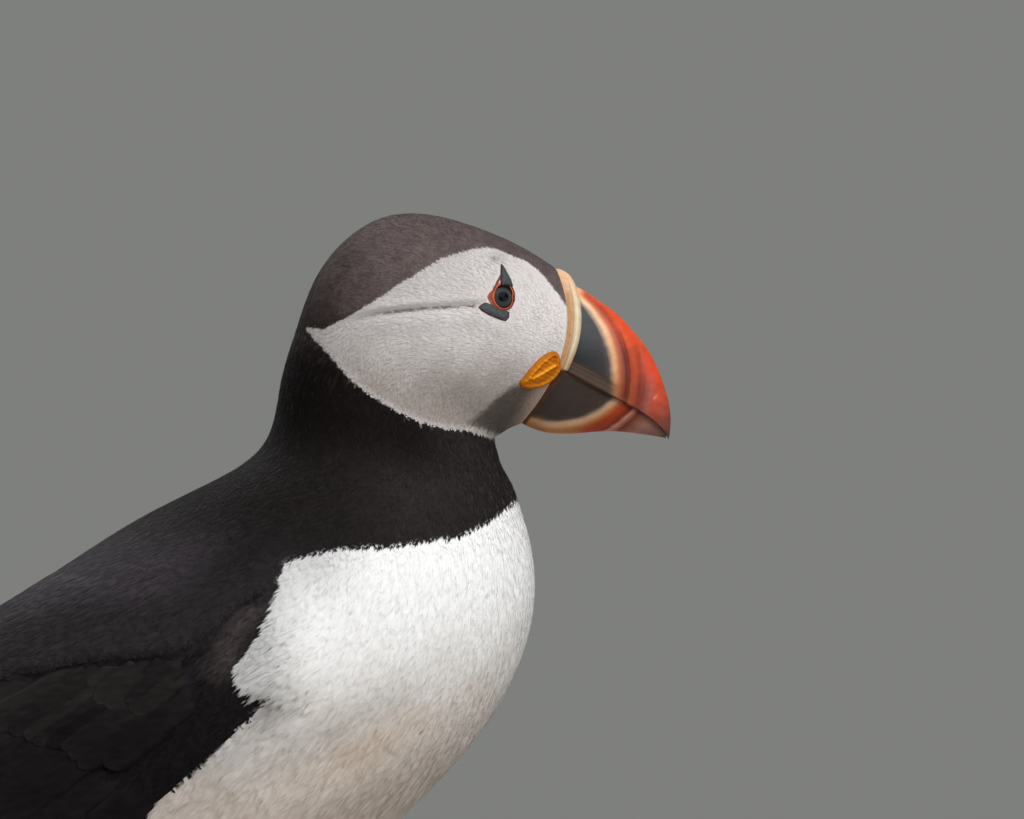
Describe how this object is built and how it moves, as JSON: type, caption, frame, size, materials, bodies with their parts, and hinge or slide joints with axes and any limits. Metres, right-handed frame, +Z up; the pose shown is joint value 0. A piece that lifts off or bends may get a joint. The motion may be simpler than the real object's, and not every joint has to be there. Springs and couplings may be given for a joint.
{
  "type": "atlantic puffin",
  "caption": "Still, life-size model of an Atlantic puffin standing on both webbed feet, its wings folded and its deep banded bill held level.",
  "frame": {"origin": "On the floor under the middle of the bird's bounding box, midway between the two feet.", "axes": "+X from the tail to the bill, +Y to the bird's left, +Z up. The bird stands on Z = 0."},
  "size_m": [0.2444, 0.0908, 0.2034],
  "materials": {
    "cap": "short brownish-grey feathers",
    "collar": "short black feathers",
    "white": "soft white feathers",
    "wing_black": "smooth black flight feathers",
    "slate": "satin blue-grey horn",
    "red": "satin orange-red horn with grooves",
    "cream": "pitted cream horn",
    "orange": "soft folded yellow-orange skin",
    "iris": "wet dark brown eye",
    "lid": "bare orange-red eye ring",
    "foot_orange": "scaly orange-red skin",
    "claw": "polished black claw"
  },
  "bodies": {
    "root": {"head": "cap", "neck": "collar", "trunk": "white", "rump": "white", "tail": "wing_black", "bill_cere": "cream", "bill_upper": "red", "bill_lower": "slate", "eye_left": "iris", "eye_right": "iris", "eyelid_left": "lid", "eyelid_right": "lid", "eye_plate_upper_left": "slate", "eye_plate_upper_right": "slate", "eye_plate_lower_left": "slate", "eye_plate_lower_right": "slate", "rosette_left": "orange", "rosette_right": "orange", "wing_left": "wing_black", "wing_right": "wing_black", "primaries_left": "wing_black", "primaries_right": "wing_black", "thigh_left": "white", "thigh_right": "white", "shank_left": "foot_orange", "shank_right": "foot_orange", "foot_left": "foot_orange", "foot_right": "foot_orange", "claw_inner_left": "claw", "claw_middle_left": "claw", "claw_outer_left": "claw", "claw_inner_right": "claw", "claw_middle_right": "claw", "claw_outer_right": "claw"}
  },
  "joints": []
}
